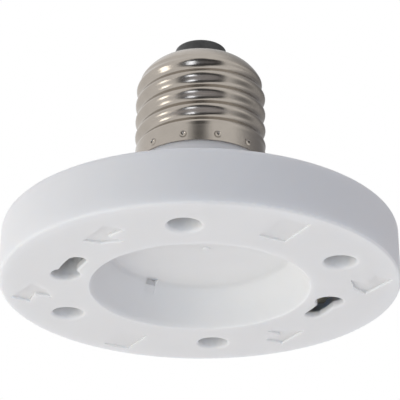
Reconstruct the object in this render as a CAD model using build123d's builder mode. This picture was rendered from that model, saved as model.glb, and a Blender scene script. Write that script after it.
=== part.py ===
"""Lamp socket adapter: a screw cap on a moulded disc whose face takes a flat lamp with two twist-lock pins.

Frame: millimetres, +Z up along the screw cap, origin at the centre of the front face, which looks down.
"""

from build123d import *
import os
from math import asin, cos, degrees, radians, sin, sqrt, tan

# Disc body
face_radius = 39.0
side_draft = 0.1
body_height = 11.35
face_thickness = 1.4
side_wall = 2.6
face_edge_round = 0.5
rim_edge_round = 1.2

# Round recess in the middle of the face, with a cone-shaped wall; a land parts it from the keyholes
recess_land = 2.25
recess_taper = 3.5
recess_depth = 8.2
recess_wall = 1.4
recess_corner_round = 1.2
recess_lip_round = 0.3
gate_nub_radius = 0.8
gate_nub_height = 0.3
gate_nub_place = (1.3, -1.0)

# Notch at the corner of the recess, and the faint groove that runs down the wall from it
notch_angle = 123.0
notch_width = 2.4
notch_depth = 0.9
notch_height = 0.8
notch_rise = 0.5
groove_depth = 0.1
groove_height = 2.4

# Keyholes for the lamp's two pins
pin_circle_radius = 26.5
entry_angle = 14.3
lock_angle = 29.7
entry_radius = 2.75
slot_width = 3.35
keyhole_rim_round = 0.4
stop_wall_gap = 0.1
stop_wall_thickness = 1.0
stop_wall_height = 5.6
stop_wall_sweep = 232.0

# Screw wells, in two pairs about the plain pockets
pocket_angle = -61.0
well_spread = 34.5
well_radius = 3.05
well_rim_round = 0.6
well_depth = 5.0
well_floor = 1.6
well_wall = 1.2
well_side_gap = 2.5

# Shallow marks on the face: two plain pockets and four darts that point the way to twist
pocket_depth = 0.35
pocket_length = 8.9
pocket_width = 5.6
pocket_edge_gap = 2.85
dart_depth = 0.5
dart_outline = [(0, 0), (4.7, -7.2), (1.1, -9.3), (-0.1, -5.4), (-3.4, -6.9), (-2.4, -2.4)]
lock_dart_angle = 0.0
lock_dart_edge_gap = 6.5
lock_dart_advance = 2.2
unlock_dart_angle = 63.0
unlock_dart_edge_gap = 9.5
unlock_dart_advance = 9.1

# Back cover with its neck
cover_edge = 1.8
cover_clearance = 0.1
cover_rim_lip = 1.6
cone_foot_inset = 3.2
cone_top_radius = 15.0
cone_rise = 6.4
cover_shell = 1.9
neck_base_wall = 2.5
neck_taper_height = 4.05
neck_straight_height = 4.25
neck_clearance = 0.15
spigot_length = 8.5
spigot_clearance = 0.35
spigot_wall = 1.6
neck_top_clearance = 0.3
cone_foot_round = 3.0
neck_root_round = 4.0
neck_top_round = 2.0

# Screw cap of rolled sheet, right-hand thread of seven turns to the inch
skirt_radius = 13.1
skirt_height = 3.35
crest_radius = 13.2
thread_depth = 0.9
thread_pitch = 25.4 / 7
thread_length = 12.6
thread_phase = 215.0
thread_fade_in = 1.7
thread_fade_out = 2.0
thread_runout = 3.8
sections_per_turn = 12
shoulder_radius = 7.7
sheet = 0.3
stake_count = 12
stake_start_angle = 15.0
stake_height = 1.35
stake_ball = 0.9
stake_stand_off = 0.5
stake_clearance = 0.05

# Insulator and centre contact at the cap's tip
tip_clearance = 0.1
insulator_radius = 5.35
insulator_top_radius = 5.25
insulator_rise = 3.4
insulator_sink = 4.1
insulator_edge_round = 0.3
opening_clearance = 0.2
contact_radius = 4.4
contact_edge = 0.2
contact_dome = 0.3
shank_radius = 1.5
shank_overhang = 1.0

# Tapping screws
screw_radius = 1.1
screw_fit = 0.02
screw_clearance = 0.15
housing_head_radius = 2.2
housing_head_height = 1.5
housing_screw_grip = 3.6
housing_boss_radius = 2.9
pilot_tip_room = 0.5
contact_head_radius = 2.1
contact_head_height = 1.3
contact_screw_grip = 3.4
cross_length = 2.4
cross_width = 0.6
cross_depth = 0.8
head_round = 0.4

# Leaf springs over the slot ends, screwed to bosses on the inside of the face
leaf_thickness = 0.5
leaf_width = 5.0
leaf_screw_offset = 9.5
leaf_foot_half = 3.2
leaf_press_height = 3.0
leaf_tip_offset = 3.6
leaf_tip_lift = 1.3
leaf_bend_radius = 1.2
contact_boss_radius = 3.0
contact_boss_height = 4.0

# Wire lugs under the contact screws
lug_thickness = 0.5
lug_ring_radius = 2.7
lug_tab_width = 2.2
lug_barrel_radius = 1.3
lug_barrel_start = 2.9
lug_barrel_length = 4.0
lug_turn = 135.0

# Wires
wire_radius = 0.8
wire_fit = 0.05
core_radius = 0.4
core_fit = 0.05
corner_share = 0.45
wire_in_barrel = 3.5
wire_past_barrel = 4.2
live_bare_length = 1.5
neutral_bare_length = 3.0
neutral_wall_gap = 0.25
fold_sink = 0.15
fold_flat = 0.1
fold_tail = 4.5

# Heights and radii that follow from the sizes above
seat_z = body_height - cover_edge
boss_joint_z = well_depth + well_floor
notch_foot_z = recess_depth - notch_height
notch_top_z = recess_depth + notch_rise
groove_foot_z = recess_depth - groove_height
cone_top_z = body_height + cone_rise
neck_taper_z = cone_top_z + neck_taper_height
cap_rim_z = neck_taper_z + neck_straight_height
thread_start_z = cap_rim_z + skirt_height
spigot_top_z = thread_start_z + spigot_length
shoulder_z = thread_start_z + thread_length
cap_top_z = shoulder_z + shoulder_radius
insulator_top_z = cap_top_z + insulator_rise
insulator_bottom_z = cap_top_z - insulator_sink
shoulder_centre_radius = crest_radius - shoulder_radius
leaf_foot_z = face_thickness + contact_boss_height
lug_z = leaf_foot_z + leaf_thickness

recess_mouth_radius = pin_circle_radius - entry_radius - recess_land
recess_ceiling_radius = recess_mouth_radius - recess_taper
rim_radius = face_radius - side_draft
side_inner_radius = rim_radius - side_wall
cover_seat_radius = rim_radius - cover_rim_lip
cover_radius = cover_seat_radius - cover_clearance
cone_foot_radius = cover_radius - cone_foot_inset
well_circle_radius = side_inner_radius - well_side_gap - well_wall - well_radius
pocket_circle_radius = face_radius - pocket_edge_gap - pocket_length / 2
lock_dart_radius = face_radius - lock_dart_edge_gap
unlock_dart_radius = face_radius - unlock_dart_edge_gap
well_angles = [pocket_angle + side + turn for turn in (0, 180) for side in (-well_spread, well_spread)]
lock_sweep = lock_angle - entry_angle
stake_circle_radius = skirt_radius + stake_stand_off
stake_z = cap_rim_z + stake_height
stake_sphere = stake_ball + sheet
neck_top_z = thread_start_z - neck_top_clearance
neck_radius = skirt_radius - sheet - neck_clearance
spigot_radius = crest_radius - thread_depth - sheet - spigot_clearance
neck_bore_radius = spigot_radius - spigot_wall
thread_end_z = shoulder_z + thread_runout
cone_slope = cone_rise / (cone_foot_radius - cone_top_radius)
hollow_foot_radius = cone_foot_radius - (cover_shell - cover_edge) / cone_slope
hollow_top_radius = cone_top_radius - neck_base_wall
hollow_top_z = body_height + (cone_foot_radius - hollow_top_radius) * cone_slope - cover_shell
pilot_radius = screw_radius + screw_fit
passage_radius = screw_radius + screw_clearance
neutral_wire_radius = neck_bore_radius - wire_radius - neutral_wall_gap
fold_leg_radius = spigot_radius - fold_sink
fold_radius = (fold_leg_radius - neutral_wire_radius - fold_flat) / 2

os.makedirs("parts", exist_ok=True)


def polar(radius, angle):
    """Point on the face at a radius and an angle from +X."""
    return (radius * cos(radians(angle)), radius * sin(radians(angle)))


def recess_radius(z):
    """Radius of the recess wall at a height above the face."""
    return recess_mouth_radius - (recess_mouth_radius - recess_ceiling_radius) * z / recess_depth


def round_corner(sketch, radius, r, z):
    """Round the profile's corner that lies at (r, z)."""
    fillet(sketch.vertices().sort_by_distance((r, z))[:1], radius)


def radial_plane(angle):
    """Upright plane through the axis: x outwards at an angle from +X, y up."""
    return Plane(origin=(0, 0, 0), x_dir=(*polar(1, angle), 0), z_dir=(*polar(1, angle - 90), 0))


def leaf_side_plane(turn):
    """Plane through the slot end of a keyhole: x along the twist, y up."""
    angle = lock_angle + turn
    origin = (*polar(pin_circle_radius, angle), 0)
    return Plane(origin=origin, x_dir=(*polar(1, angle + 90), 0), z_dir=(*polar(1, angle), 0))


def contact_screw_place(turn):
    """Centre of a contact screw on the face."""
    along = polar(leaf_screw_offset, lock_angle + turn + 90)
    middle = polar(pin_circle_radius, lock_angle + turn)
    return (middle[0] + along[0], middle[1] + along[1])


# Front shell: face, side wall and recess turned in one, then the holes, bosses and marks
with BuildPart() as front_shell:
    with BuildSketch(Plane.XZ) as shell_profile:
        with BuildLine():
            Polyline(
                (0, recess_depth),
                (recess_ceiling_radius, recess_depth),
                (recess_mouth_radius, 0),
                (face_radius, 0),
                (rim_radius, body_height),
                (cover_seat_radius, body_height),
                (cover_seat_radius, seat_z),
                (side_inner_radius, seat_z),
                (side_inner_radius, face_thickness),
                (recess_radius(face_thickness) + recess_wall, face_thickness),
                (recess_ceiling_radius + recess_wall, recess_depth + recess_wall),
                (0, recess_depth + recess_wall),
                close=True,
            )
        make_face()
        round_corner(shell_profile, recess_corner_round, recess_ceiling_radius, recess_depth)
        round_corner(shell_profile, recess_lip_round, recess_mouth_radius, 0)
        round_corner(shell_profile, face_edge_round, face_radius, 0)
        round_corner(shell_profile, rim_edge_round, rim_radius, body_height)
    revolve(axis=Axis.Z)

    # Inside the disc: bosses around the screw wells and under the springs, and a stop wall around each entry
    with BuildSketch(Plane.XY.offset(face_thickness)):
        with Locations(*[polar(well_circle_radius, angle) for angle in well_angles]):
            Circle(well_radius + well_wall)
    extrude(amount=boss_joint_z - face_thickness)
    with BuildSketch(Plane.XY.offset(face_thickness)):
        with Locations(contact_screw_place(0), contact_screw_place(180)):
            Circle(contact_boss_radius)
    extrude(amount=contact_boss_height)
    stop_wall_radius = entry_radius + stop_wall_gap + stop_wall_thickness / 2
    with BuildSketch(Plane.XY.offset(face_thickness)):
        for turn in (0, 180):
            entry_place = polar(pin_circle_radius, entry_angle + turn)
            stop_start = entry_angle + turn - 90 - stop_wall_sweep / 2
            with BuildLine():
                CenterArc(entry_place, stop_wall_radius, stop_start, stop_wall_sweep)
            trace(line_width=stop_wall_thickness)
    extrude(amount=stop_wall_height)

    # Screw wells with their clearance holes, and pilot holes in the contact bosses
    with BuildSketch():
        with Locations(*[polar(well_circle_radius, angle) for angle in well_angles]):
            Circle(well_radius)
    extrude(amount=well_depth, mode=Mode.SUBTRACT)
    fillet(front_shell.edges(Select.LAST).group_by(Axis.Z)[0], well_rim_round)
    with BuildSketch(Plane.XY.offset(well_depth)):
        with Locations(*[polar(well_circle_radius, angle) for angle in well_angles]):
            Circle(passage_radius)
    extrude(amount=well_floor, mode=Mode.SUBTRACT)
    with BuildSketch(Plane.XY.offset(leaf_foot_z)):
        with Locations(contact_screw_place(0), contact_screw_place(180)):
            Circle(pilot_radius)
    extrude(amount=-(contact_screw_grip + pilot_tip_room), mode=Mode.SUBTRACT)

    # Keyholes
    with BuildLine(mode=Mode.PRIVATE) as slot_line:
        CenterArc((0, 0), pin_circle_radius, entry_angle, lock_sweep)
    with BuildSketch():
        with PolarLocations(0, 2):
            SlotArc(slot_line.line.edge(), slot_width)
            with Locations(polar(pin_circle_radius, entry_angle)):
                Circle(entry_radius)
    extrude(amount=face_thickness, mode=Mode.SUBTRACT)
    fillet(front_shell.edges(Select.LAST).group_by(Axis.Z)[0], keyhole_rim_round)

    # Shallow pockets, and darts whose outline runs from the tip: outwards, and along the way to twist
    with BuildSketch():
        with PolarLocations(pocket_circle_radius, 2, start_angle=pocket_angle):
            Rectangle(pocket_length, pocket_width)
    extrude(amount=pocket_depth, mode=Mode.SUBTRACT)
    with BuildSketch():
        for dart_angle, dart_radius, advance, way in (
            (lock_dart_angle, lock_dart_radius, lock_dart_advance, 1),
            (unlock_dart_angle, unlock_dart_radius, unlock_dart_advance, -1),
        ):
            with PolarLocations(dart_radius, 2, start_angle=dart_angle):
                Polygon(*[(out, way * (advance + along)) for out, along in dart_outline], align=None)
    extrude(amount=dart_depth, mode=Mode.SUBTRACT)

    # Recess details: notch at the ceiling's edge with the groove under it, and gate nub
    for turn in (0, 180):
        with BuildSketch(radial_plane(notch_angle + turn)):
            with BuildLine():
                Polyline(
                    (recess_ceiling_radius - recess_corner_round, recess_depth),
                    (recess_ceiling_radius - recess_corner_round, notch_top_z),
                    (recess_ceiling_radius + notch_depth, notch_top_z),
                    (recess_ceiling_radius + notch_depth, notch_foot_z),
                    (recess_radius(notch_foot_z) + groove_depth, notch_foot_z),
                    (recess_radius(groove_foot_z) + groove_depth, groove_foot_z),
                    (recess_radius(groove_foot_z) - groove_depth, groove_foot_z),
                    close=True,
                )
            make_face()
        extrude(amount=notch_width / 2, both=True, mode=Mode.SUBTRACT)
    with BuildSketch(Plane.XY.offset(recess_depth)):
        with Locations(gate_nub_place):
            Circle(gate_nub_radius)
    extrude(amount=-gate_nub_height)

front_shell.part.label = "front_shell"
export_step(front_shell.part, "parts/front_shell.step")


def smooth_step(share):
    """Rise from 0 to 1 with level ends."""
    share = min(max(share, 0), 1)
    return share * share * (3 - 2 * share)


def crest_line(z, inset):
    """Radius of the thread's crests at a height, on the sheet's surface moved inwards by inset."""
    if z > shoulder_z:
        return shoulder_centre_radius + sqrt((shoulder_radius - inset) ** 2 - (z - shoulder_z) ** 2)
    widening = (crest_radius - skirt_radius) * smooth_step((z - thread_start_z) / thread_fade_in)
    return skirt_radius + widening - inset


def cap_form(inset):
    """Solid inside the cap's sheet surface moved inwards by inset.

    A rolled thread whose radius swings as a cosine is a round section whose centre walks a helix, so the
    threaded part is a loft through circles that swing out by half the thread's depth.
    """
    steps = round((thread_end_z - thread_start_z) / thread_pitch * sections_per_turn)
    with BuildPart() as form:
        with BuildSketch(Plane.XY.offset(cap_rim_z)):
            Circle(skirt_radius - inset)
        extrude(amount=skirt_height)
        for step in range(steps + 1):
            z = thread_start_z + (thread_end_z - thread_start_z) * step / steps
            fade_in = smooth_step((z - thread_start_z) / thread_fade_in)
            fade_out = smooth_step((thread_end_z - z) / thread_fade_out)
            swing = thread_depth / 2 * fade_in * fade_out
            crest_angle = thread_phase + 360 * (z - thread_start_z) / thread_pitch
            with BuildSketch(Plane.XY.offset(z)):
                with Locations(polar(swing, crest_angle)):
                    Circle(crest_line(z, inset) - swing)
        loft()
        with BuildSketch(Plane.XZ):
            with BuildLine():
                shoulder = CenterArc(
                    (shoulder_centre_radius, shoulder_z),
                    shoulder_radius - inset,
                    degrees(asin(thread_runout / (shoulder_radius - inset))),
                    90 - degrees(asin(thread_runout / (shoulder_radius - inset))),
                )
                Polyline(shoulder @ 1, (0, cap_top_z - inset), (0, thread_end_z), shoulder @ 0)
            make_face()
        revolve(axis=Axis.Z)
    return form.part


# Screw shell: the sheet between the outer and the inner form, open at both ends, staked around its skirt
cap_outside = cap_form(0)
cap_inside = cap_form(sheet)
with BuildPart() as stakes:
    with Locations((0, 0, stake_z)):
        with PolarLocations(stake_circle_radius, stake_count, start_angle=stake_start_angle):
            Sphere(stake_sphere)
    add(cap_outside, mode=Mode.INTERSECT)
with BuildPart() as screw_shell:
    add(cap_outside)
    add(cap_inside, mode=Mode.SUBTRACT)
    with BuildSketch(Plane.XY.offset(cap_top_z)):
        Circle(insulator_radius + opening_clearance)
    extrude(amount=-2 * sheet, mode=Mode.SUBTRACT)
    add(stakes.part)
    with Locations((0, 0, stake_z)):
        with PolarLocations(stake_circle_radius, stake_count, start_angle=stake_start_angle):
            Sphere(stake_ball, mode=Mode.SUBTRACT)

screw_shell.part.label = "screw_shell"
export_step(screw_shell.part, "parts/screw_shell.step")

# Back cover: a cone-backed disc and a hollow neck, with screw bosses left standing in its hollow
with BuildPart() as cover_hollow:
    with BuildSketch(Plane.XZ):
        with BuildLine():
            Polyline(
                (0, seat_z),
                (hollow_foot_radius, seat_z),
                (hollow_top_radius, hollow_top_z),
                (neck_bore_radius, neck_taper_z),
                (neck_bore_radius, spigot_top_z),
                (0, spigot_top_z),
                close=True,
            )
        make_face()
    revolve(axis=Axis.Z)
    with BuildSketch(Plane.XY.offset(seat_z)):
        with Locations(*[polar(well_circle_radius, angle) for angle in well_angles]):
            Circle(housing_boss_radius)
    extrude(amount=cone_top_z - seat_z, mode=Mode.SUBTRACT)

with BuildPart() as back_cover:
    with BuildSketch(Plane.XZ) as cover_profile:
        with BuildLine():
            Polyline(
                (0, seat_z),
                (cover_radius, seat_z),
                (cover_radius, body_height),
                (cone_foot_radius, body_height),
                (cone_top_radius, cone_top_z),
                (neck_radius, neck_taper_z),
                (neck_radius, neck_top_z),
                (spigot_radius, neck_top_z),
                (spigot_radius, spigot_top_z),
                (0, spigot_top_z),
                close=True,
            )
        make_face()
        round_corner(cover_profile, cone_foot_round, cone_foot_radius, body_height)
        round_corner(cover_profile, neck_root_round, cone_top_radius, cone_top_z)
        round_corner(cover_profile, neck_top_round, neck_radius, neck_taper_z)
    revolve(axis=Axis.Z)
    add(cover_hollow.part, mode=Mode.SUBTRACT)
    with BuildSketch(Plane.XY.offset(boss_joint_z)):
        with Locations(*[polar(well_circle_radius, angle) for angle in well_angles]):
            Circle(housing_boss_radius)
    extrude(amount=seat_z - boss_joint_z)
    with BuildSketch(Plane.XY.offset(boss_joint_z)):
        with Locations(*[polar(well_circle_radius, angle) for angle in well_angles]):
            Circle(pilot_radius)
    extrude(amount=housing_screw_grip + pilot_tip_room, mode=Mode.SUBTRACT)
    with Locations((0, 0, stake_z)):
        with PolarLocations(stake_circle_radius, stake_count, start_angle=stake_start_angle):
            Sphere(stake_sphere + stake_clearance, mode=Mode.SUBTRACT)

    # Groove outside the spigot for the folded end of the neutral wire
    with BuildSketch(Plane.XY.offset(spigot_top_z)):
        with Locations((0, -fold_leg_radius)):
            Rectangle(2 * (core_radius + core_fit), 2 * (core_radius + core_fit))
    extrude(amount=-(fold_tail + core_radius), mode=Mode.SUBTRACT)

back_cover.part.label = "back_cover"
export_step(back_cover.part, "parts/back_cover.step")

# Insulator: fills the cap's shoulder from inside and stands out of its opening
plug_round = shoulder_radius - sheet - tip_clearance
plug_angle = degrees(asin((insulator_bottom_z - shoulder_z) / plug_round))
with BuildPart() as cap_insulator:
    with BuildSketch(Plane.XZ) as insulator_profile:
        with BuildLine():
            plug = CenterArc((shoulder_centre_radius, shoulder_z), plug_round, plug_angle, 90 - plug_angle)
            Polyline(
                plug @ 1,
                (insulator_radius, shoulder_z + plug_round),
                (insulator_top_radius, insulator_top_z),
                (shank_radius + tip_clearance, insulator_top_z),
                (shank_radius + tip_clearance, insulator_bottom_z),
                plug @ 0,
            )
        make_face()
        round_corner(insulator_profile, insulator_edge_round, insulator_top_radius, insulator_top_z)
    revolve(axis=Axis.Z)

cap_insulator.part.label = "cap_insulator"
export_step(cap_insulator.part, "parts/cap_insulator.step")

# Centre contact: a low domed button with a hollow shank for the live wire's end
contact_top_z = insulator_top_z + contact_edge + contact_dome
shank_bottom_z = insulator_bottom_z - shank_overhang
core_bore_radius = core_radius + core_fit
dome_round = (contact_radius**2 + contact_dome**2) / (2 * contact_dome)
dome_angle = degrees(asin(contact_radius / dome_round))
with BuildPart() as centre_contact:
    with BuildSketch(Plane.XZ):
        with BuildLine():
            dome = CenterArc((0, contact_top_z - dome_round), dome_round, 90 - dome_angle, dome_angle)
            Polyline(
                dome @ 1,
                (0, insulator_top_z),
                (contact_radius, insulator_top_z),
                dome @ 0,
            )
        make_face()
    revolve(axis=Axis.Z)
    with BuildSketch(Plane.XY.offset(insulator_top_z)):
        Circle(shank_radius)
        Circle(core_bore_radius, mode=Mode.SUBTRACT)
    extrude(amount=shank_bottom_z - insulator_top_z)

centre_contact.part.label = "centre_contact"
export_step(centre_contact.part, "parts/centre_contact.step")


def tapping_screw(head_radius, head_height, length):
    """Cross-headed tapping screw: its head lies under the XY plane, and its shank runs up from it."""
    with BuildPart() as screw:
        with BuildSketch():
            Circle(head_radius)
        extrude(amount=-head_height)
        fillet(screw.faces().sort_by(Axis.Z)[0].edges(), head_round)
        with BuildSketch(Plane.XY.offset(-head_height)):
            Rectangle(cross_length, cross_width)
            Rectangle(cross_width, cross_length)
        extrude(amount=cross_depth, mode=Mode.SUBTRACT)
        with BuildSketch():
            Circle(screw_radius)
        extrude(amount=length)
    return screw.part


# Four screws in the wells, heads downwards
housing_screw = tapping_screw(housing_head_radius, housing_head_height, well_floor + housing_screw_grip)
with BuildPart() as housing_screws:
    with Locations(*[(*polar(well_circle_radius, angle), well_depth) for angle in well_angles]):
        add(housing_screw)

housing_screws.part.label = "housing_screws"
export_step(housing_screws.part, "parts/housing_screws.step")

# Two screws that hold spring and lug on their bosses, heads upwards
contact_screw_z = lug_z + lug_thickness
contact_screw_length = leaf_thickness + lug_thickness + contact_screw_grip
contact_screw = tapping_screw(contact_head_radius, contact_head_height, contact_screw_length)
with BuildPart() as contact_screws:
    for turn in (0, 180):
        with Locations(Plane(origin=(*contact_screw_place(turn), contact_screw_z), z_dir=(0, 0, -1))):
            add(contact_screw)

contact_screws.part.label = "contact_screws"
export_step(contact_screws.part, "parts/contact_screws.step")

# Leaf springs and wire lugs, one of each for either keyhole
leaf_foot_middle_z = leaf_foot_z + leaf_thickness / 2
leaf_press_middle_z = leaf_press_height + leaf_thickness / 2
for side, turn in (("live", 0), ("neutral", 180)):
    with BuildPart() as contact_spring:
        with BuildSketch(leaf_side_plane(turn)):
            with BuildLine():
                FilletPolyline(
                    (leaf_screw_offset + leaf_foot_half, leaf_foot_middle_z),
                    (leaf_screw_offset - leaf_foot_half, leaf_foot_middle_z),
                    (0, leaf_press_middle_z),
                    (-leaf_tip_offset, leaf_press_middle_z + leaf_tip_lift),
                    radius=leaf_bend_radius,
                )
            trace(line_width=leaf_thickness)
        extrude(amount=leaf_width / 2, both=True)
        with BuildSketch(Plane.XY.offset(leaf_foot_z)):
            with Locations(contact_screw_place(turn)):
                Circle(passage_radius)
        extrude(amount=leaf_thickness, mode=Mode.SUBTRACT)
    contact_spring.part.label = f"contact_spring_{side}"
    export_step(contact_spring.part, f"parts/contact_spring_{side}.step")

    lug_way = (*polar(1, lock_angle + turn + lug_turn), 0)
    lug_plane = Plane(origin=(*contact_screw_place(turn), lug_z), x_dir=lug_way, z_dir=(0, 0, 1))
    barrel_start = lug_plane.from_local_coords((lug_barrel_start, 0, lug_barrel_radius))
    barrel_plane = Plane(origin=barrel_start, z_dir=lug_way)
    with BuildPart() as wire_lug:
        with BuildSketch(lug_plane):
            Circle(lug_ring_radius)
            with Locations(((lug_barrel_start + lug_barrel_radius) / 2, 0)):
                Rectangle(lug_barrel_start + lug_barrel_radius, lug_tab_width)
        extrude(amount=lug_thickness)
        with BuildSketch(barrel_plane):
            Circle(lug_barrel_radius)
        extrude(amount=lug_barrel_length)
        with BuildSketch(barrel_plane):
            Circle(wire_radius + wire_fit)
        extrude(amount=lug_barrel_length, mode=Mode.SUBTRACT)
        with BuildSketch(lug_plane):
            Circle(passage_radius)
        extrude(amount=lug_thickness, mode=Mode.SUBTRACT)
    wire_lug.part.label = f"wire_lug_{side}"
    export_step(wire_lug.part, f"parts/wire_lug_{side}.step")


def wire_run(points, radius):
    """Round wire along straight runs, each corner an arc as large as its shorter run allows."""
    corners = []
    for before, here, after in zip(points, points[1:], points[2:]):
        run_in = Vector(here) - Vector(before)
        run_out = Vector(after) - Vector(here)
        half_turn = radians(run_in.get_angle(run_out)) / 2
        corners.append(corner_share * min(run_in.length, run_out.length) / tan(half_turn))
    print("wire arcs, mm:", [round(corner, 1) for corner in corners])
    with BuildPart() as wire:
        with BuildLine():
            FilletPolyline(*points, radius=corners)
        with BuildSketch(Plane(origin=points[0], z_dir=Vector(points[1]) - Vector(points[0]))):
            Circle(radius)
        sweep()
    return wire.part


def barrel_point(turn, distance):
    """Point on the axis of a lug's barrel, at a distance from the barrel's far end."""
    way = lock_angle + turn + lug_turn
    out = polar(lug_barrel_start + lug_barrel_length + distance, way)
    screw = contact_screw_place(turn)
    return (screw[0] + out[0], screw[1] + out[1], lug_z + lug_barrel_radius)


# Live wire: out of its lug, over the recess and up the neck's axis, its bare end in the centre contact
live_route = [
    barrel_point(0, -wire_in_barrel),
    barrel_point(0, wire_past_barrel),
    (1.5, 20.0, 11.4),
    (0.3, 9.0, 14.6),
    (0, 1.5, 19.5),
    (0, 0, 27.0),
    (0, 0, shank_bottom_z - live_bare_length),
]
live_cover = wire_run(live_route, wire_radius)
with BuildPart() as wire_live:
    add(live_cover)
    with BuildSketch(Plane.XY.offset(shank_bottom_z - live_bare_length)):
        Circle(core_radius)
    extrude(amount=insulator_top_z - shank_bottom_z + live_bare_length - core_fit)

wire_live.part.label = "wire_live"
export_step(wire_live.part, "parts/wire_live.step")

# Neutral wire: out of its lug and up the neck's wall, its bare end folded over the spigot's edge
neutral_strip_z = spigot_top_z - neutral_bare_length
fold_top_z = spigot_top_z + fold_radius + core_fit
neutral_route = [
    barrel_point(180, -wire_in_barrel),
    barrel_point(180, wire_past_barrel),
    (-1.5, -20.5, 11.4),
    (-0.2, -11.5, 15.0),
    (0, -neutral_wire_radius, 20.5),
    (0, -neutral_wire_radius, neutral_strip_z),
]
neutral_cover = wire_run(neutral_route, wire_radius)
with BuildPart() as wire_neutral:
    with BuildLine():
        FilletPolyline(
            (0, -neutral_wire_radius, neutral_strip_z),
            (0, -neutral_wire_radius, fold_top_z),
            (0, -fold_leg_radius, fold_top_z),
            (0, -fold_leg_radius, spigot_top_z - fold_tail),
            radius=fold_radius,
        )
    with BuildSketch(Plane.XY.offset(neutral_strip_z)):
        with Locations((0, -neutral_wire_radius)):
            Circle(core_radius)
    sweep()
    add(neutral_cover)

wire_neutral.part.label = "wire_neutral"
export_step(wire_neutral.part, "parts/wire_neutral.step")
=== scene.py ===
"""Looks of the lamp socket adapter: finishes, studio light and the photograph's camera.

Everything is in metres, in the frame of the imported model: +Z up along the screw cap, and the face
at z = 0 looking down.
"""

from math import cos, pi, radians, sin, tau

import bpy
from mathutils import Matrix, Vector


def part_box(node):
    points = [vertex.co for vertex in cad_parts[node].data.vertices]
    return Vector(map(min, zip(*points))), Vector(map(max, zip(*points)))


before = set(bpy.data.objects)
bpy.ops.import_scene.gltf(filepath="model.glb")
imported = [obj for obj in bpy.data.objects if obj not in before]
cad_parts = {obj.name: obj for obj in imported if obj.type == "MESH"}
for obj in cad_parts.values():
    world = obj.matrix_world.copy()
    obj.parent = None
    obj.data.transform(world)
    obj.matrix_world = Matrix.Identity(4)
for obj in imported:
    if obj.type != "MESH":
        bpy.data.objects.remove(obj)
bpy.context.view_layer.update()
MM = 0.001


# Node helpers

class Nodes:
    """The node tree of a material or a world, with short ways to add nodes and link them."""

    def __init__(self, owner):
        owner.use_nodes = True
        self.tree = owner.node_tree

    def add(self, kind, **settings):
        node = self.tree.nodes.new(kind)
        for key, value in settings.items():
            setattr(node, key, value)
        return node

    def link(self, source, target):
        self.tree.links.new(source, target)

    def seen_directly(self):
        """1 for rays from the camera and for those that gloss and glass send on, else 0."""
        path = self.add("ShaderNodeLightPath")
        seen = path.outputs["Is Camera Ray"]
        for name in ("Is Glossy Ray", "Is Transmission Ray"):
            either = self.add("ShaderNodeMath", operation="MAXIMUM")
            self.link(seen, either.inputs[0])
            self.link(path.outputs[name], either.inputs[1])
            seen = either.outputs["Value"]
        return seen

    def show_mix(self, output, factor, first, second):
        """Show the first shader where the factor is 0 and the second where it is 1."""
        mix = self.add("ShaderNodeMixShader")
        for source, target in zip((factor, first, second), mix.inputs):
            self.link(source, target)
        self.link(mix.outputs["Shader"], self.tree.nodes[output].inputs["Surface"])


class Shader(Nodes):
    """A material under construction: its surface shader and short ways to give it a look."""

    def __init__(self, name):
        self.material = bpy.data.materials.new(name)
        super().__init__(self.material)
        self.surface = self.tree.nodes["Principled BSDF"]
        self.place = self.add("ShaderNodeTexCoord").outputs["Object"]

    def set(self, **values):
        for key, value in values.items():
            self.surface.inputs[key.replace("_", " ")].default_value = value

    def noise(self, size_mm, detail, roughness=0.5, density=(1, 1, 1)):
        """Noise with features of about a size, or denser or sparser along x, y and z."""
        mapping = self.add("ShaderNodeMapping")
        mapping.inputs["Scale"].default_value = density
        self.link(self.place, mapping.inputs["Vector"])
        noise = self.add("ShaderNodeTexNoise")
        noise.inputs["Scale"].default_value = 1 / (size_mm * MM)
        noise.inputs["Detail"].default_value = detail
        noise.inputs["Roughness"].default_value = roughness
        self.link(mapping.outputs["Vector"], noise.inputs["Vector"])
        return noise.outputs["Fac"]

    def ramp(self, source, first, second):
        """Colour ramp between two stops, each a position and a colour."""
        ramp = self.add("ShaderNodeValToRGB")
        for element, (position, colour) in zip(ramp.color_ramp.elements, (first, second)):
            element.position = position
            element.color = (*colour, 1)
        self.link(source, ramp.inputs["Fac"])
        return ramp.outputs["Color"]

    def between(self, source, low, high):
        """The source's 0 to 1 spread over a range of values."""
        spread = self.add("ShaderNodeMapRange")
        spread.inputs["To Min"].default_value = low
        spread.inputs["To Max"].default_value = high
        self.link(source, spread.inputs["Value"])
        return spread.outputs["Result"]

    def bump(self, source, depth_mm, strength, below=None):
        """Bump of a depth, on top of another bump if one is given."""
        bump = self.add("ShaderNodeBump")
        bump.inputs["Strength"].default_value = strength
        bump.inputs["Distance"].default_value = depth_mm * MM
        self.link(source, bump.inputs["Height"])
        if below is not None:
            self.link(below, bump.inputs["Normal"])
        return bump.outputs["Normal"]

    def finish(self, colour, roughness, normal):
        """Lead the three sources to the surface shader and hand the material over."""
        for name, source in (("Base Color", colour), ("Roughness", roughness), ("Normal", normal)):
            self.link(source, self.surface.inputs[name])
        return self.material


def shade(colour, factor):
    return tuple(channel * factor for channel in colour)


# Materials

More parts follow.
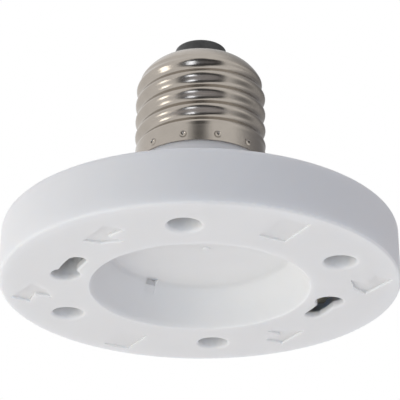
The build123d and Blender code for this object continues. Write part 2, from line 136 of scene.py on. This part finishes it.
def white_plastic(name, colour):
    """Satin white moulding: fine grain, faint flow clouds and a little light let in under the skin."""
    plastic = Shader(name)
    plastic.set(
        IOR=1.49, Subsurface_Weight=1.0, Subsurface_Scale=2.0 * MM, Subsurface_Radius=(0.9, 0.95, 1.0),
    )
    clouds = plastic.noise(size_mm=14, detail=3)
    tone = plastic.ramp(clouds, (0.3, shade(colour, 0.975)), (0.7, colour))
    gloss = plastic.between(plastic.noise(size_mm=3.5, detail=4), low=0.40, high=0.52)
    grain = plastic.bump(plastic.noise(size_mm=0.22, detail=2), depth_mm=0.006, strength=0.5)
    waves = plastic.bump(
        plastic.noise(size_mm=6.0, detail=1), depth_mm=0.02, strength=0.25, below=grain,
    )
    return plastic.finish(tone, gloss, waves)


def rolled_nickel(name, colour):
    """Nickel-plated rolled sheet: lines around the cap from the rolls, and a faint uneven tarnish."""
    metal = Shader(name)
    metal.set(Metallic=1.0)
    tarnish = metal.noise(size_mm=2.6, detail=4, roughness=0.6)
    tone = metal.ramp(tarnish, (0.25, shade(colour, 0.9)), (0.75, colour))
    lines = metal.noise(size_mm=0.5, detail=3, density=(0.06, 0.06, 3.0))
    gloss = metal.between(lines, low=0.16, high=0.26)
    normal = metal.bump(lines, depth_mm=0.004, strength=0.35)
    return metal.finish(tone, gloss, normal)


def black_insulator(name, colour):
    """Dark pressed insulator with a dusty, slightly pitted skin."""
    dark = Shader(name)
    dark.set(IOR=1.52)
    dust = dark.noise(size_mm=1.1, detail=5, roughness=0.65)
    tone = dark.ramp(dust, (0.35, colour), (0.8, shade(colour, 2.0)))
    gloss = dark.between(dark.noise(size_mm=0.8, detail=3), low=0.30, high=0.48)
    normal = dark.bump(dark.noise(size_mm=0.35, detail=3), depth_mm=0.015, strength=0.5)
    return dark.finish(tone, gloss, normal)


def worn_metal(name, colour, roughness):
    """Small plated or rolled metal piece with fine grain and rubbed, uneven gloss."""
    metal = Shader(name)
    metal.set(Metallic=1.0)
    patches = metal.noise(size_mm=1.4, detail=5, roughness=0.65)
    tone = metal.ramp(patches, (0.3, shade(colour, 0.8)), (0.7, colour))
    gloss = metal.between(patches, low=roughness * 0.8, high=roughness * 1.35)
    normal = metal.bump(metal.noise(size_mm=0.4, detail=3), depth_mm=0.008, strength=0.5)
    return metal.finish(tone, gloss, normal)


def wire_cover(name, colour, core_colour, strip_z):
    """Wire with a matt cover below the height where it is stripped, and a bright core above it."""
    wire = Shader(name)
    split = wire.add("ShaderNodeSeparateXYZ")
    wire.link(wire.place, split.inputs["Vector"])
    bare = wire.add("ShaderNodeMath", operation="GREATER_THAN")
    bare.inputs[1].default_value = strip_z
    wire.link(split.outputs["Z"], bare.inputs[0])
    mottle = wire.noise(size_mm=0.9, detail=3)
    cover = wire.ramp(mottle, (0.3, shade(colour, 0.88)), (0.7, colour))
    core = wire.ramp(mottle, (0.3, shade(core_colour, 0.75)), (0.7, core_colour))
    mix = wire.add("ShaderNodeMix", data_type="RGBA")
    wire.link(bare.outputs["Value"], mix.inputs["Factor"])
    wire.link(cover, mix.inputs["A"])
    wire.link(core, mix.inputs["B"])
    wire.link(bare.outputs["Value"], wire.surface.inputs["Metallic"])
    gloss = wire.between(mottle, low=0.32, high=0.5)
    normal = wire.bump(wire.noise(size_mm=0.25, detail=2), depth_mm=0.01, strength=0.5)
    return wire.finish(mix.outputs["Result"], gloss, normal)


# Colours, and how far below the contact and below the neck's edge the wires are stripped

WHITE = (0.83, 0.83, 0.83)
NICKEL = (0.44, 0.40, 0.355)
BLACK = (0.035, 0.035, 0.034)
TINNED = (0.62, 0.60, 0.55)
BRONZE = (0.48, 0.44, 0.34)
ZINC = (0.55, 0.56, 0.58)
WIRE_COVER = (0.70, 0.69, 0.66)
COPPER = (0.72, 0.42, 0.30)
LIVE_BARE = 1.5 * MM
NEUTRAL_BARE = 3.0 * MM


# Finishes of the pieces

contact_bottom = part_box("centre_contact")[0]
neck_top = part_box("back_cover")[1]
plastic = white_plastic("white_moulding", WHITE)
tinned = worn_metal("contact_metal", TINNED, roughness=0.3)
bronze = worn_metal("spring_metal", BRONZE, roughness=0.3)
zinc = worn_metal("screw_metal", ZINC, roughness=0.34)
finishes = {
    "front_shell": plastic,
    "back_cover": plastic,
    "screw_shell": rolled_nickel("plated_cap", NICKEL),
    "cap_insulator": black_insulator("black_insulator", BLACK),
    "centre_contact": tinned,
    "contact_spring_live": bronze,
    "contact_spring_neutral": bronze,
    "wire_lug_live": tinned,
    "wire_lug_neutral": tinned,
    "contact_screws": zinc,
    "housing_screws": zinc,
    "wire_live": wire_cover("wire_live_cover", WIRE_COVER, COPPER, contact_bottom.z - LIVE_BARE),
    "wire_neutral": wire_cover("wire_neutral_cover", WIRE_COVER, COPPER, neck_top.z - NEUTRAL_BARE),
}
for node, material in finishes.items():
    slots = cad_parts[node].data.materials
    slots.clear()
    slots.append(material)


# Stage: a pale floor far below, seen as plain white, and soft studio light

FLOOR_Z = -0.9
FLOOR_HALF = 6.0
FLOOR_COLOUR = (0.85, 0.85, 0.85)
FLOOR_ROUGHNESS = 0.8
WORLD_LIGHT = 0.74
WORLD_SLOPE = (-0.110, 0.480, 0.048)
WORLD_TINT = (0.948, 0.942, 1.0)
SUNNY = (1.0, 0.96, 0.68)
WARM = (1.0, 0.97, 0.90)
COOL = (0.80, 0.88, 1.0)
CARD_SIDES = 48
CARD_ROUGHNESS = 0.9


def make_world():
    """Light from all around, most of it from behind and the left. Where it is seen it is plain white."""
    world = bpy.data.worlds.new("studio")
    room = Nodes(world)
    direction = room.add("ShaderNodeTexCoord")
    slope = room.add("ShaderNodeVectorMath", operation="DOT_PRODUCT")
    slope.inputs[1].default_value = WORLD_SLOPE
    room.link(direction.outputs["Generated"], slope.inputs[0])
    level = room.add("ShaderNodeMath", operation="ADD")
    level.inputs[1].default_value = WORLD_LIGHT
    room.link(slope.outputs["Value"], level.inputs[0])
    light = room.tree.nodes["Background"]
    light.inputs["Color"].default_value = (*WORLD_TINT, 1)
    room.link(level.outputs["Value"], light.inputs["Strength"])
    white = room.add("ShaderNodeBackground")
    white.inputs["Color"].default_value = (1, 1, 1, 1)
    white.inputs["Strength"].default_value = 1.0
    room.show_mix(
        "World Output", room.seen_directly(), light.outputs["Background"], white.outputs["Background"],
    )
    bpy.context.scene.world = world


def make_floor():
    mesh = bpy.data.meshes.new("floor")
    corners = ((-1, -1), (1, -1), (1, 1), (-1, 1))
    points = [(x * FLOOR_HALF, y * FLOOR_HALF, FLOOR_Z) for x, y in corners]
    mesh.from_pydata(points, [], [(0, 1, 2, 3)])
    floor = bpy.data.objects.new("floor", mesh)
    bpy.context.scene.collection.objects.link(floor)
    pale = Shader("pale_floor")
    pale.set(Base_Color=(*FLOOR_COLOUR, 1), Roughness=FLOOR_ROUGHNESS)
    white = pale.add("ShaderNodeEmission")
    pale.show_mix(
        "Material Output", pale.seen_directly(), pale.surface.outputs["BSDF"], white.outputs["Emission"],
    )
    mesh.materials.append(pale.material)
    floor.visible_diffuse = False


def face_middle(thing, azimuth, elevation, distance):
    """Stand a lamp or a card around the adapter, facing it. Azimuth runs from the front to the right."""
    a, e = radians(azimuth), radians(elevation)
    way = Vector((sin(a) * cos(e), -cos(a) * cos(e), sin(e)))
    thing.location = way * distance
    thing.rotation_mode = "QUATERNION"
    thing.rotation_quaternion = way.to_track_quat("Z", "Y")
    bpy.context.scene.collection.objects.link(thing)


def soft_lamp(name, azimuth, elevation, distance, width, height, light, tint, in_gloss):
    """Rectangular lamp. Its light is what a white surface at the middle, square to it, sends back."""
    lamp = bpy.data.lights.new(name, "AREA")
    lamp.shape = "RECTANGLE"
    lamp.size = width
    lamp.size_y = height
    lamp.color = tint
    lamp.energy = light * pi * pi * distance * distance
    holder = bpy.data.objects.new(name, lamp)
    holder.visible_camera = False
    holder.visible_glossy = in_gloss
    face_middle(holder, azimuth, elevation, distance)


def dark_card(name, azimuth, elevation, distance, half_width, half_height, clear_edge, tone):
    """Oval card that shows only in gloss, as the dark of the room around the studio light.

    It is dense in the middle and clears towards its edge, over a share of its half width.
    """
    look = Shader(name)
    look.set(Base_Color=(tone, tone, tone, 1), Roughness=CARD_ROUGHNESS)
    reach = look.add("ShaderNodeVectorMath", operation="LENGTH")
    look.link(look.place, reach.inputs[0])
    fade = look.add("ShaderNodeMapRange", interpolation_type="SMOOTHSTEP")
    fade.inputs["From Min"].default_value = 1 - clear_edge
    look.link(reach.outputs["Value"], fade.inputs["Value"])
    clear = look.add("ShaderNodeBsdfTransparent")
    look.show_mix(
        "Material Output", fade.outputs["Result"], look.surface.outputs["BSDF"], clear.outputs["BSDF"],
    )
    mesh = bpy.data.meshes.new(name)
    turns = [tau * step / CARD_SIDES for step in range(CARD_SIDES)]
    mesh.from_pydata([(cos(turn), sin(turn), 0) for turn in turns], [], [range(CARD_SIDES)])
    mesh.materials.append(look.material)
    card = bpy.data.objects.new(name, mesh)
    card.scale = (half_width, half_height, 1)
    face_middle(card, azimuth, elevation, distance)
    card.visible_camera = False
    card.visible_diffuse = False
    card.visible_shadow = False
    card.visible_transmission = False


make_world()
make_floor()

# Broad lamps that light the adapter and stay out of its gloss
soft_lamp(
    "key", azimuth=-72, elevation=-45, distance=0.8, width=0.6, height=0.6,
    light=0.195, tint=SUNNY, in_gloss=False,
)
soft_lamp(
    "fill", azimuth=-10, elevation=-26, distance=0.8, width=0.35, height=0.35,
    light=0.185, tint=COOL, in_gloss=False,
)

# Small lamps that also glint in the cap
soft_lamp(
    "key_glint", azimuth=-64, elevation=-15, distance=0.5, width=0.12, height=0.15,
    light=0.08, tint=WARM, in_gloss=True,
)
soft_lamp(
    "front", azimuth=-14, elevation=-24, distance=0.45, width=0.09, height=0.14,
    light=0.08, tint=COOL, in_gloss=True,
)

# Dark cards in front and to the right, for the dark bands in the cap
dark_card(
    "front_card", azimuth=5, elevation=-32, distance=0.5, half_width=0.46, half_height=0.64,
    clear_edge=0.3, tone=0.05,
)
dark_card(
    "low_card", azimuth=12, elevation=-45, distance=0.47, half_width=0.27, half_height=0.24,
    clear_edge=0.4, tone=0.4,
)
dark_card(
    "figure_card", azimuth=-2, elevation=24, distance=1.0, half_width=0.40, half_height=0.26,
    clear_edge=0.7, tone=0.02,
)
dark_card(
    "right_card", azimuth=128, elevation=25, distance=1.0, half_width=1.9, half_height=1.7,
    clear_edge=1.0, tone=0.40,
)
dark_card(
    "low_right_card", azimuth=96, elevation=-30, distance=0.8, half_width=0.7, half_height=0.45,
    clear_edge=1.0, tone=0.18,
)


# Camera at the photograph's viewing angle

CAMERA_PLACE = (0, -0.327097, -0.136797)
CAMERA_PITCH = 25.495
CAMERA_ROLL = 0.32
CAMERA_LENS = 163.8
CAMERA_SENSOR = 36
CAMERA_NEAR = 0.01

camera = bpy.data.objects.new("camera", bpy.data.cameras.new("camera"))
camera.data.lens = CAMERA_LENS
camera.data.sensor_width = CAMERA_SENSOR
camera.data.clip_start = CAMERA_NEAR
camera.matrix_world = (
    Matrix.Translation(CAMERA_PLACE)
    @ Matrix.Rotation(radians(90 + CAMERA_PITCH), 4, "X")
    @ Matrix.Rotation(radians(CAMERA_ROLL), 4, "Z")
)
bpy.context.scene.collection.objects.link(camera)
bpy.context.scene.camera = camera
bpy.context.scene.view_settings.view_transform = "Standard"
